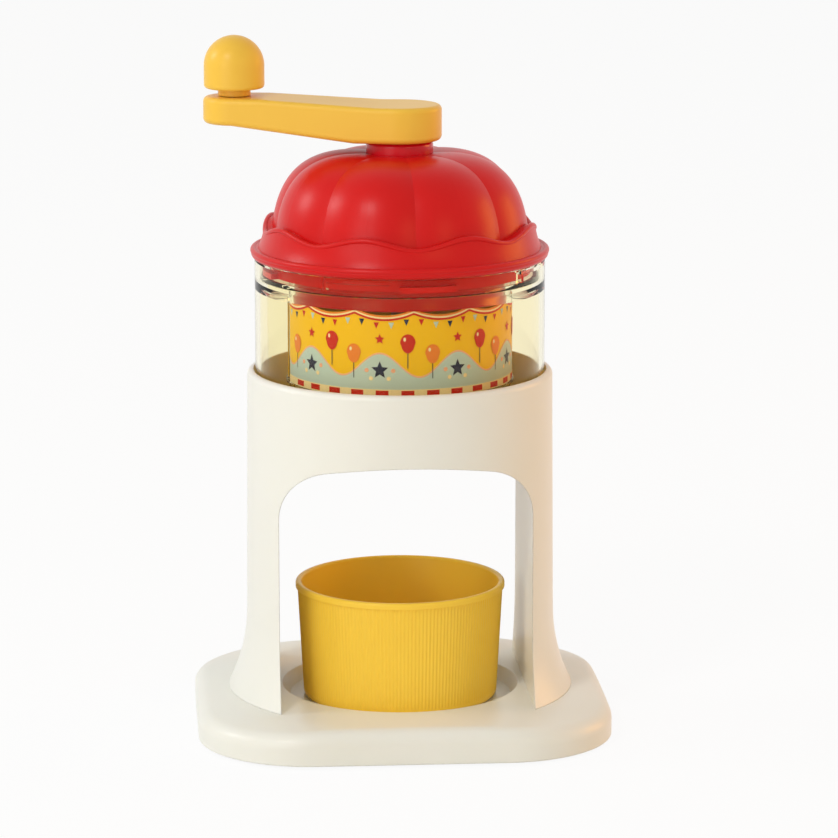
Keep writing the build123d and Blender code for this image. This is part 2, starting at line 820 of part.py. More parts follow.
with BuildPart() as crank_arm:
    with BuildSketch(arm_plane.offset(hub_bottom)):
        with BuildLine():
            lean = (hub_radius - tip_radius) / crank_reach
            rise = sqrt(1 - lean**2)
            for side in (-1, 1):
                Line(
                    (hub_radius * lean, side * hub_radius * rise),
                    (crank_reach + tip_radius * lean, side * tip_radius * rise),
                )
            ThreePointArc(
                (hub_radius * lean, hub_radius * rise),
                (-hub_radius, 0),
                (hub_radius * lean, -hub_radius * rise),
            )
            ThreePointArc(
                (crank_reach + tip_radius * lean, tip_radius * rise),
                (crank_reach + tip_radius, 0),
                (crank_reach + tip_radius * lean, -tip_radius * rise),
            )
        make_face()
    extrude(amount=hub_height + arm_rise)
    with BuildSketch(upright(crank_direction)):
        with BuildLine():
            Polyline(
                (-hub_radius, hub_bottom),
                (hub_radius, hub_bottom),
                (crank_reach, tip_bottom),
                (crank_reach + tip_radius, tip_bottom),
                (crank_reach + tip_radius, tip_top),
                (crank_reach - tip_radius, tip_top),
                (hub_radius / 2, hub_top),
                (-hub_radius, hub_top),
                close=True,
            )
        make_face()
    extrude(amount=hub_radius, both=True, mode=Mode.INTERSECT)
    upper = crank_arm.faces().filter_by(lambda face: face.normal_at().Z > 0.9)
    lower = crank_arm.faces().filter_by(lambda face: face.normal_at().Z < -0.9)
    rims = [
        edge
        for edge in crank_arm.edges()
        if abs(edge.tangent_at(0.5).Z) < 0.5
        and sum(edge in face.edges() for face in upper + lower) == 1
    ]
    fillet(rims, arm_round)
    with BuildSketch(arm_plane.offset(hub_bottom)):
        Circle(tube_radius + seat_fit)
        Rectangle(4 * tube_radius, 2 * (tube_flat + seat_fit), mode=Mode.INTERSECT)
    extrude(amount=socket_depth, mode=Mode.SUBTRACT)
    with BuildSketch(arm_plane.offset(socket_top)):
        Circle(crank_screw_shank + running_fit)
    extrude(amount=crank_screw_length - tube_web, mode=Mode.SUBTRACT)
    with BuildSketch(arm_plane.offset(hub_bottom)):
        with Locations((crank_reach, 0)):
            Circle(pin_radius + seat_fit)
    extrude(amount=hub_height + arm_rise, mode=Mode.SUBTRACT)
    with BuildSketch(arm_plane.offset(hub_bottom)):
        with Locations((crank_reach, 0)):
            Circle(pin_head_radius + seat_fit)
    extrude(amount=tip_bottom + pin_head_height - hub_bottom, mode=Mode.SUBTRACT)
crank_arm.part.label = "crank_arm"
export_step(crank_arm.part, "parts/crank_arm.step")

with BuildPart() as drive_tube:
    with BuildSketch(Plane.XY.offset(tube_bottom)):
        Circle(tube_radius)
    extrude(amount=tube_top - tube_bottom)
    with BuildSketch(arm_plane.offset(hub_bottom)):
        Circle(2 * tube_radius)
        Rectangle(4 * tube_radius, 2 * tube_flat, mode=Mode.SUBTRACT)
    extrude(amount=socket_depth, mode=Mode.SUBTRACT)
    with BuildSketch(Plane.XY.offset(clip_top)):
        Circle(2 * tube_radius)
        Circle(tube_radius - clip_groove, mode=Mode.SUBTRACT)
    extrude(amount=-clip_thickness, mode=Mode.SUBTRACT)
    with BuildSketch(arm_plane.offset(tube_bottom)):
        Rectangle(stem_side + 2 * seat_fit, stem_side + 2 * seat_fit)
    extrude(amount=tube_bore_top - tube_bottom, mode=Mode.SUBTRACT)
    with BuildSketch(Plane.XY.offset(tube_bore_top)):
        Circle(crank_screw_shank + running_fit)
    extrude(amount=tube_web, mode=Mode.SUBTRACT)
drive_tube.part.label = "drive_tube"
export_step(drive_tube.part, "parts/drive_tube.step")

with BuildPart() as crank_screw:
    with BuildSketch(Plane.XY.offset(tube_bore_top)):
        Circle(crank_screw_head)
    extrude(amount=-crank_screw_head_height)
    with BuildSketch(Plane.XY.offset(tube_bore_top - crank_screw_head_height)):
        RegularPolygon(crank_screw_shank, 6)
    extrude(amount=crank_screw_head_height / 2, mode=Mode.SUBTRACT)
    with BuildSketch(Plane.XY.offset(tube_bore_top)):
        Circle(crank_screw_shank)
    extrude(amount=crank_screw_length - seat_fit)
crank_screw.part.label = "crank_screw"
export_step(crank_screw.part, "parts/crank_screw.step")

with BuildPart() as thrust_washers:
    for top in (washer_top, seat_washer_top):
        with BuildSketch(Plane.XY.offset(top)):
            Circle(washer_radius)
            Circle(tube_radius + seat_fit, mode=Mode.SUBTRACT)
        extrude(amount=-washer_thickness)
thrust_washers.part.label = "thrust_washers"
export_step(thrust_washers.part, "parts/thrust_washers.step")

with BuildPart() as retaining_clip:
    with BuildSketch(Plane.XY.offset(clip_top)):
        Circle(clip_radius)
        Circle(tube_radius - clip_groove + running_fit, mode=Mode.SUBTRACT)
        with BuildLine(mode=Mode.PRIVATE) as opening:
            Polyline(
                (0, 0),
                (2 * clip_radius, 2 * clip_radius * sin(radians(clip_opening / 2))),
                (2 * clip_radius, -2 * clip_radius * sin(radians(clip_opening / 2))),
                close=True,
            )
        make_face(opening.edges(), mode=Mode.SUBTRACT)
    extrude(amount=-clip_thickness)
retaining_clip.part.label = "retaining_clip"
export_step(retaining_clip.part, "parts/retaining_clip.step")

# ---------------------------------------------------------------- presser and spring

with BuildPart() as presser_stem:
    with BuildSketch(arm_plane.offset(presser_top)):
        Rectangle(stem_side, stem_side)
    extrude(amount=stem_top - presser_top)
    chamfer(presser_stem.edges().group_by(Axis.Z)[-1], stem_side / 10)
    with BuildSketch(Plane.XY.offset(presser_top)):
        Circle(small_shank + running_fit)
    extrude(amount=presser_screw_length - presser_thickness, mode=Mode.SUBTRACT)
presser_stem.part.label = "presser_stem"
export_step(presser_stem.part, "parts/presser_stem.step")

with BuildPart() as ice_presser:
    with BuildSketch(Plane.XY.offset(presser_bottom)):
        Circle(presser_radius)
    extrude(amount=presser_thickness)
    with BuildSketch(Plane.XY.offset(presser_top)):
        Circle(presser_hub_radius)
    extrude(amount=presser_hub_height)
    with BuildSketch(Plane.XY.offset(presser_top)):
        with PolarLocations(0, 4):
            Rectangle(presser_radius, presser_rib, align=(Align.MIN, Align.CENTER))
        Circle(spring_radius + 2 * spring_wire, mode=Mode.SUBTRACT)
        Circle(presser_radius - presser_rib, mode=Mode.INTERSECT)
    extrude(amount=presser_rib)
    for radius, count in zip(spike_ring_radii, spike_ring_counts):
        with BuildSketch(Plane.XY.offset(presser_bottom)):
            with PolarLocations(radius, count):
                Circle(spike_radius)
        extrude(amount=-spike_height, taper=degrees(atan2(spike_radius * 0.8, spike_height)))
    with BuildSketch(arm_plane.offset(presser_top)):
        Rectangle(stem_side + 2 * running_fit, stem_side + 2 * running_fit)
    extrude(amount=presser_hub_height, mode=Mode.SUBTRACT)
    with BuildSketch(Plane.XY.offset(presser_bottom)):
        Circle(small_shank + running_fit)
    extrude(amount=presser_thickness, mode=Mode.SUBTRACT)
ice_presser.part.label = "ice_presser"
export_step(ice_presser.part, "parts/ice_presser.step")

with BuildPart() as presser_screw:
    with BuildSketch(Plane.XY.offset(presser_bottom)):
        Circle(presser_screw_head)
    extrude(amount=-small_head_height)
    with BuildSketch(Plane.XY.offset(presser_bottom)):
        Circle(small_shank)
    extrude(amount=presser_screw_length - seat_fit)
presser_screw.part.label = "presser_screw"
export_step(presser_screw.part, "parts/presser_screw.step")

spring_low = presser_top + spring_wire + running_fit
spring_high = spring_top - spring_wire - running_fit
with BuildPart() as presser_spring:
    with BuildLine():
        coil = Helix(
            pitch=(spring_high - spring_low) / spring_turns,
            height=spring_high - spring_low,
            radius=spring_radius,
            center=(0, 0, spring_low),
        )
    with BuildSketch(Plane(origin=coil @ 0, z_dir=coil % 0)):
        Circle(spring_wire)
    sweep(is_frenet=True)
presser_spring.part.label = "presser_spring"
export_step(presser_spring.part, "parts/presser_spring.step")

# ---------------------------------------------------------------- knob

neck_bottom = tip_top + slip_gap
knob_bottom = neck_bottom + knob_neck_height

with BuildPart() as crank_knob:
    with BuildSketch(Plane(origin=tip_centre, x_dir=(1, 0, 0), z_dir=(0, -1, 0))):
        with BuildLine():
            Polyline(
                (0, neck_bottom),
                (knob_neck_radius, neck_bottom),
                (knob_neck_radius, knob_bottom),
                (knob_radius - knob_edge_round, knob_bottom),
            )
            TangentArc(
                (knob_radius - knob_edge_round, knob_bottom),
                (knob_radius, knob_bottom + knob_edge_round),
                tangent=(1, 0),
            )
            Line(
                (knob_radius, knob_bottom + knob_edge_round),
                (knob_radius, knob_bottom + knob_height - knob_radius),
            )
            TangentArc(
                (knob_radius, knob_bottom + knob_height - knob_radius),
                (0, knob_bottom + knob_height),
                tangent=(0, 1),
            )
            Line((0, knob_bottom + knob_height), (0, neck_bottom))
        make_face()
    revolve(axis=Axis(tip_centre, (0, 0, 1)))
    with BuildSketch(Plane.XY.offset(neck_bottom)):
        with Locations(tip_centre):
            Circle(pin_radius + running_fit)
    extrude(amount=pin_length_in_knob + pin_bore_gap, mode=Mode.SUBTRACT)
crank_knob.part.label = "crank_knob"
export_step(crank_knob.part, "parts/crank_knob.step")

with BuildPart() as knob_pin:
    with BuildSketch(Plane.XY.offset(tip_bottom + pin_head_height)):
        with Locations(tip_centre):
            Circle(pin_head_radius)
    extrude(amount=-pin_head_height)
    with BuildSketch(Plane.XY.offset(tip_bottom)):
        with Locations(tip_centre):
            Circle(pin_radius)
    extrude(amount=neck_bottom + pin_length_in_knob - tip_bottom)
    chamfer(knob_pin.edges().group_by(Axis.Z)[-1], pin_radius / 5)
knob_pin.part.label = "knob_pin"
export_step(knob_pin.part, "parts/knob_pin.step")

# ---------------------------------------------------------------- cup

cup_top = recess_floor + cup_height
with BuildPart() as ice_cup:
    with BuildSketch(Plane.XZ):
        with BuildLine():
            Line((0, recess_floor), (cup_bottom_radius - cup_bottom_round, recess_floor))
            TangentArc(
                (cup_bottom_radius - cup_bottom_round, recess_floor),
                (cup_bottom_radius, recess_floor + cup_bottom_round),
                tangent=(1, 0),
            )
            Polyline(
                (cup_bottom_radius, recess_floor + cup_bottom_round),
                (cup_wall_top_radius, cup_top - cup_bead_height),
                (cup_rim_radius, cup_top - cup_bead_height),
                (cup_rim_radius, cup_top - cup_bead_height / 2),
            )
            bead = TangentArc(
                (cup_rim_radius, cup_top - cup_bead_height / 2),
                (cup_wall_top_radius - cup_wall, cup_top - cup_bead_height / 2),
                tangent=(0, 1),
            )
            Polyline(
                bead @ 1,
                (cup_bottom_radius - cup_wall, recess_floor + cup_floor),
                (0, recess_floor + cup_floor),
                (0, recess_floor),
            )
        make_face()
    revolve(axis=Axis.Z)
ice_cup.part.label = "ice_cup"
export_step(ice_cup.part, "parts/ice_cup.step")
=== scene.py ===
"""Dresses the hand-cranked ice shaver: moulded plastics, clear case, printed band and studio.

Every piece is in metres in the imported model's frame, with the crank axis on Z and the front
towards -Y. Sizes are written in millimetres and turned to metres by MM, and directions are in
degrees round the crank axis from +X. Only the studio's sizes are written in metres.
"""

from __future__ import annotations

import json
import logging
import math
from collections.abc import Callable, Iterable
from dataclasses import dataclass, field
from enum import Enum, IntEnum

import bmesh
import bpy
from mathutils import Matrix, Vector

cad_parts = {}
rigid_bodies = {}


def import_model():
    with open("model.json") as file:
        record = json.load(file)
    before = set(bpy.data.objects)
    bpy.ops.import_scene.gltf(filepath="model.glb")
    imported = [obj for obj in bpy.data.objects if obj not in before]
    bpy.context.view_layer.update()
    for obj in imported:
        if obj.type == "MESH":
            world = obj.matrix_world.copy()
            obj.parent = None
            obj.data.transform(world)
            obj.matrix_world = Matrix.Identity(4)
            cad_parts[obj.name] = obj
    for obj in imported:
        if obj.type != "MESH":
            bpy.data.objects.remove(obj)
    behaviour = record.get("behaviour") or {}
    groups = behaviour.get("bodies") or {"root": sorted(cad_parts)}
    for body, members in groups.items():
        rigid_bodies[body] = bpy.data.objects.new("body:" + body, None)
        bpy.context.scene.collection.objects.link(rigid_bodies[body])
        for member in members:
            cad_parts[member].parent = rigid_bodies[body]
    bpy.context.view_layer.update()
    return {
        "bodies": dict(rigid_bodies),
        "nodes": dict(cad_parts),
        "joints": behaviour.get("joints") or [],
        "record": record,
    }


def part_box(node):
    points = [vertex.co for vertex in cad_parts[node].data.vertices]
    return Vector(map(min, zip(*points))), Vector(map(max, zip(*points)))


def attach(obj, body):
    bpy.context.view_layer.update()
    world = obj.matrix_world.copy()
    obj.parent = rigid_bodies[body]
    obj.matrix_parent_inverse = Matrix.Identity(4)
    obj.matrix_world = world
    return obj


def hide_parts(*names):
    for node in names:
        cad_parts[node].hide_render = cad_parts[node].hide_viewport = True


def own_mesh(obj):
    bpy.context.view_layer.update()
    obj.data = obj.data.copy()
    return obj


LOG = logging.getLogger("ice_shaver")
MM = 0.001
WELD = 0.001 * MM  # vertices closer than this are one
SHARP = 40.0  # edges that turn by more than this many degrees stay sharp
FULL_TURN = 2 * math.pi
CRANK_AXIS = (0, 0, 1)

Section = tuple[tuple[float, float], ...]  # radius and height in mm of each corner


# ---------------------------------------------------------------- small helpers


def linear(colour: str) -> tuple[float, float, float, float]:
    """Turns an sRGB hex colour into the linear values that shaders read.

    Args:
        colour: Six hex digits after a hash.

    Returns:
        Red, green and blue, linear, with an alpha of 1.
    """
    digits = colour.lstrip("#")
    channels = (int(digits[i : i + 2], 16) / 255 for i in (0, 2, 4))
    red, green, blue = (
        c / 12.92 if c <= 0.04045 else ((c + 0.055) / 1.055) ** 2.4 for c in channels
    )
    return red, green, blue, 1.0


def add_node(
    tree: bpy.types.NodeTree,
    kind: str,
    inputs: dict[str | int, object] | None = None,
    **settings: object,
) -> bpy.types.Node:
    """Adds one shader node with its settings, values and links.

    Args:
        tree: The node tree that takes the node.
        kind: Blender's type name of the node.
        inputs: Socket name or number to a value, or to the output socket it is linked from.
        **settings: The node's own properties.

    Returns:
        The new node.
    """
    node = tree.nodes.new(kind)
    for name, value in settings.items():
        setattr(node, name, value)
    for name, value in (inputs or {}).items():
        if isinstance(value, bpy.types.NodeSocket):
            tree.links.new(value, node.inputs[name])
        else:
            node.inputs[name].default_value = value
    return node


def new_material(name: str) -> bpy.types.Material:
    """Makes a material with an empty node tree.

    Args:
        name: Name of the real material.

    Returns:
        The empty Blender material.
    """
    material = bpy.data.materials.new(name)
    material.use_nodes = True
    material.node_tree.nodes.clear()
    return material


def turn_from(direction: float, centre: float, span: float) -> float:
    """Finds how far a direction is turned from the nearest of evenly spaced ones.

    Args:
        direction: The direction.
        centre: Any one of the evenly spaced directions.
        span: The angle between them, in the same unit.

    Returns:
        The signed turn, at most half a span.
    """
    return (direction - centre + span / 2) % span - span / 2


def draw_section(
    bm: bmesh.types.BMesh, corners: Iterable[tuple[float, float]], closed: bool
) -> list[bmesh.types.BMVert]:
    """Draws a section as a wire in the XZ plane.

    Args:
        bm: The bmesh that takes it.
        corners: Radius and height in mm of its corners, in order.
        closed: Whether the last corner is joined to the first.

    Returns:
        The vertices at the corners, in order.
    """
    wire = [bm.verts.new(Vector((radius, 0, height)) * MM) for radius, height in corners]
    ends = wire[1:] + (wire[:1] if closed else [])
    for start, end in zip(wire, ends):
        bm.edges.new((start, end))
    return wire


def spin_round(bm: bmesh.types.BMesh, steps: int) -> None:
    """Spins all that a bmesh holds one full turn about the crank axis.

    Args:
        bm: The bmesh with the section.
        steps: How many steps go round.
    """
    bmesh.ops.spin(
        bm,
        geom=bm.verts[:] + bm.edges[:],
        cent=(0, 0, 0),
        axis=CRANK_AXIS,
        angle=FULL_TURN,
        steps=steps,
        use_merge=True,
    )


# ---------------------------------------------------------------- finishes


class MouldSkin(Enum):
    """How the steel of the mould was finished, as the roughness that it leaves on the plastic."""

    POLISHED = 0.15
    SATIN = 0.33
    SPARK_ERODED = 0.44
    MATTE = 0.78


@dataclass(frozen=True)
class MouldedPlastic:
    """Injection-moulded plastic in one even colour, with the skin that its mould left.

    The colour and the gloss drift a little over the piece, and a fine grain breaks up the
    highlight. Sharp edges may be shaded as if rounded, and light may come softened out of a wall.
    """

    name: str
    colour: str
    shade: str
    skin: MouldSkin = MouldSkin.SATIN
    specular: float = 0.35
    ior: float = 1.5
    skin_spread: float = 0.04
    grain_mm: float = 0.55  # about twice as coarse as spark erosion leaves it, so that it shows
    grain_height: float = 0.03
    grain_strength: float = 0.5
    drift_mm: float = 42.0
    glow: float = 0.0
    glow_mm: float = 3.0
    edge_mm: float = 0.0

    def build(self) -> bpy.types.Material:
        """Makes the material.

        Returns:
            The finished Blender material.
        """
        material = new_material(self.name)
        tree = material.node_tree
        place = add_node(tree, "ShaderNodeTexCoord").outputs["Object"]
        drift = add_node(
            tree,
            "ShaderNodeTexNoise",
            {"Vector": place, "Scale": 1 / (self.drift_mm * MM), "Detail": 2.0},
        ).outputs["Fac"]
        tint = add_node(
            tree,
            "ShaderNodeMix",
            {"Factor": drift, "A": linear(self.shade), "B": linear(self.colour)},
            data_type="RGBA",
        )
        rough = add_node(
            tree,
            "ShaderNodeMapRange",
            {
                "Value": drift,
                "To Min": self.skin.value - self.skin_spread,
                "To Max": self.skin.value + self.skin_spread,
            },
        )
        grain = add_node(
            tree,
            "ShaderNodeTexNoise",
            {"Vector": place, "Scale": 1 / (self.grain_mm * MM), "Detail": 3.0},
        )
        bump = add_node(
            tree,
            "ShaderNodeBump",
            {
                "Height": grain.outputs["Fac"],
                "Strength": self.grain_strength,
                "Distance": self.grain_height * MM,
            },
        )
        if self.edge_mm:
            rounded = add_node(
                tree, "ShaderNodeBevel", {"Radius": self.edge_mm * MM}, samples=4
            )
            tree.links.new(rounded.outputs["Normal"], bump.inputs["Normal"])
        shader = add_node(
            tree,
            "ShaderNodeBsdfPrincipled",
            {
                "Base Color": tint.outputs["Result"],
                "Roughness": rough.outputs["Result"],
                "Normal": bump.outputs["Normal"],
                "IOR": self.ior,
                "Specular IOR Level": self.specular,
                "Subsurface Weight": self.glow,
                "Subsurface Scale": self.glow_mm * MM,
                "Subsurface Radius": (1.0, 0.8, 0.5),
            },
        )
        add_node(tree, "ShaderNodeOutputMaterial", {"Surface": shader.outputs["BSDF"]})
        return material


@dataclass(frozen=True)
class ClearPlastic:
    """Clear moulded SAN: water-clear walls with faint flow lines that bend what is behind them.

    Shadow rays and diffuse rays pass straight through it and take on its tint, so that the
    pieces inside are lit.
    """

    name: str
    tint: str = "#FDFCF4"
    roughness: float = 0.02
    ior: float = 1.16  # below SAN's 1.57, so that the thick ledge and rims don't go black
    flow_mm: float = 16.0
    flow_height: float = 0.2
    flow_strength: float = 0.2

    def build(self) -> bpy.types.Material:
        """Makes the material.

        Returns:
            The finished Blender material.
        """
        material = new_material(self.name)
        tree = material.node_tree
        place = add_node(tree, "ShaderNodeTexCoord").outputs["Object"]
        flow = add_node(
            tree,
            "ShaderNodeTexNoise",
            {"Vector": place, "Scale": 1 / (self.flow_mm * MM), "Detail": 1.0},
        )
        bump = add_node(
            tree,
            "ShaderNodeBump",
            {
                "Height": flow.outputs["Fac"],
                "Strength": self.flow_strength,
                "Distance": self.flow_height * MM,
            },
        )
        glass = add_node(
            tree,
            "ShaderNodeBsdfPrincipled",
            {
                "Base Color": linear(self.tint),
                "Roughness": self.roughness,
                "Normal": bump.outputs["Normal"],
                "IOR": self.ior,
                "Transmission Weight": 1.0,
            },
        )
        open_way = add_node(
            tree, "ShaderNodeBsdfTransparent", {"Color": linear(self.tint)}
        ).outputs["BSDF"]
        rays = add_node(tree, "ShaderNodeLightPath")
        bounced = add_node(
            tree,
            "ShaderNodeMixShader",
            {"Fac": rays.outputs["Is Diffuse Ray"], 1: glass.outputs["BSDF"], 2: open_way},
        )
        surface = add_node(
            tree,
            "ShaderNodeMixShader",
            {"Fac": rays.outputs["Is Shadow Ray"], 1: bounced.outputs["Shader"], 2: open_way},
        )
        add_node(tree, "ShaderNodeOutputMaterial", {"Surface": surface.outputs["Shader"]})
        return material


@dataclass(frozen=True)
class Steel:
    """Plated or ground steel: neutral metal with fine marks that spread the highlight."""

    name: str
    colour: str = "#C9C9C6"
    roughness: float = 0.28
    smoother: float = 0.08
    rougher: float = 0.12
    mark_mm: float = 0.4  # coarser than the real marks, so that they show

    def build(self) -> bpy.types.Material:
        """Makes the material.

        Returns:
            The finished Blender material.
        """
        material = new_material(self.name)
        tree = material.node_tree
        place = add_node(tree, "ShaderNodeTexCoord").outputs["Object"]
        marks = add_node(
            tree,
            "ShaderNodeTexNoise",
            {"Vector": place, "Scale": 1 / (self.mark_mm * MM), "Detail": 4.0},
        )
        rough = add_node(
            tree,
            "ShaderNodeMapRange",
            {
                "Value": marks.outputs["Fac"],
                "To Min": self.roughness - self.smoother,
                "To Max": self.roughness + self.rougher,
            },
        )
        shader = add_node(
            tree,
            "ShaderNodeBsdfPrincipled",
            {
                "Base Color": linear(self.colour),
                "Metallic": 1.0,
                "Roughness": rough.outputs["Result"],
            },
        )
        add_node(tree, "ShaderNodeOutputMaterial", {"Surface": shader.outputs["BSDF"]})
        return material


@dataclass(frozen=True)
class PrintedFilm:
    """Offset-printed film under a satin varnish: even ink with the faint mottle of the press."""

    name: str
    colour: str
    roughness: float = 0.42
    specular: float = 0.3
    mottle: float = 0.06
    mottle_mm: float = 0.9

    def build(self) -> bpy.types.Material:
        """Makes the material.

        Returns:
            The finished Blender material.
        """
        material = new_material(self.name)
        tree = material.node_tree
        place = add_node(tree, "ShaderNodeTexCoord").outputs["Object"]
        speckle = add_node(
            tree,
            "ShaderNodeTexNoise",
            {"Vector": place, "Scale": 1 / (self.mottle_mm * MM), "Detail": 2.0},
        ).outputs["Fac"]
        depth = add_node(
            tree,
            "ShaderNodeMapRange",
            {"Value": speckle, "To Min": 1 - self.mottle, "To Max": 1 + self.mottle},
        )
        ink = add_node(
            tree,
            "ShaderNodeHueSaturation",
            {"Color": linear(self.colour), "Value": depth.outputs["Result"]},
        )
        shader = add_node(
            tree,
            "ShaderNodeBsdfPrincipled",
            {
                "Base Color": ink.outputs["Color"],
                "Roughness": self.roughness,
                "Specular IOR Level": self.specular,
            },
        )
        add_node(tree, "ShaderNodeOutputMaterial", {"Surface": shader.outputs["BSDF"]})
        return material


# ---------------------------------------------------------------- sub-assemblies


@dataclass
class SubAssembly:
    """What the sub-assemblies share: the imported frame, the finishes and the body they ride on."""

    frame: dict
    finishes: dict[str, bpy.types.Material]
    body: str = ""

    def dress(self, node: str, finish: str) -> None:
        """Gives a carried-over CAD node its finish.

        Args:
            node: Name of the CAD node.
            finish: Name of the finish.
        """
        mesh = self.frame["nodes"][node].data
        mesh.materials.clear()
        mesh.materials.append(self.finishes[finish])
        for polygon in mesh.polygons:
            polygon.material_index = 0
        LOG.info("dressed %s in %s", node, finish)

    def add(
        self, name: str, bm: bmesh.types.BMesh, finish: str, slot: str
    ) -> bpy.types.Object:
        """Turns a finished bmesh into a piece that rides on this sub-assembly's body.

        Args:
            name: Name of the piece.
            bm: The shape, in metres and in place. It is freed.
            finish: Name of the finish.
            slot: The record's material slot that the finish belongs to. It is not used.

        Returns:
            The new object.
        """
        bmesh.ops.remove_doubles(bm, verts=bm.verts, dist=WELD)
        bmesh.ops.recalc_face_normals(bm, faces=bm.faces)
        mesh = bpy.data.meshes.new(name)
        bm.to_mesh(mesh)
        bm.free()
        mesh.materials.append(self.finishes[finish])
        mesh.shade_smooth()
        mesh.set_sharp_from_angle(angle=math.radians(SHARP))
        piece = bpy.data.objects.new(name, mesh)
        bpy.context.scene.collection.objects.link(piece)
        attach(piece, self.body)
        LOG.info("built %s with %d faces", name, len(mesh.polygons))
        return piece


@dataclass
class Base(SubAssembly):
    """The crowned tray that everything stands on, its rubber feet and its screws."""

    body: str = "stand"

    def build(self) -> None:
        """Dresses the base."""
        self.dress("base_tray", "moulded_white")
        self.dress("rubber_feet", "moulded_rubber")
        self.dress("base_screws", "plated_steel")


@dataclass
class Tower(SubAssembly):
    """The arched tower that carries the clear case over the cup."""

    body: str = "stand"

    def build(self) -> None:
        """Dresses the tower."""
        self.dress("stand_tower", "moulded_white")


@dataclass
class ClearCase(SubAssembly):
    """The clear outer case and the ice hopper that hangs in it."""

    body: str = "hopper_unit"

    def build(self) -> None:
        """Dresses the case and the hopper."""
        self.dress("outer_case", "clear_san_warm")
        self.dress("ice_hopper", "clear_san")


@dataclass
class BladeSet(SubAssembly):
    """The blade plate under the hopper with its blade and screws."""

    body: str = "hopper_unit"

    def build(self) -> None:
        """Dresses the blade plate, the blade and their screws."""
        self.dress("blade_plate", "moulded_white")
        self.dress("shaving_blade", "ground_blade_steel")
        self.dress("blade_screws", "plated_steel")
        self.dress("plate_screws", "plated_steel")


class Motif(Enum):
    """The small printed shapes of the band."""

    DOT = "dot"
    STAR = "star"
    BALLOON = "balloon"
    PENNANT = "pennant"
    DASH = "dash"


class Layer(IntEnum):
    """The order in which the inks lie on the film, from the lowest."""

    GROUND = 0
    LINE = 1
    FIGURE = 2
    BALLOON = 3
    SHINE = 4


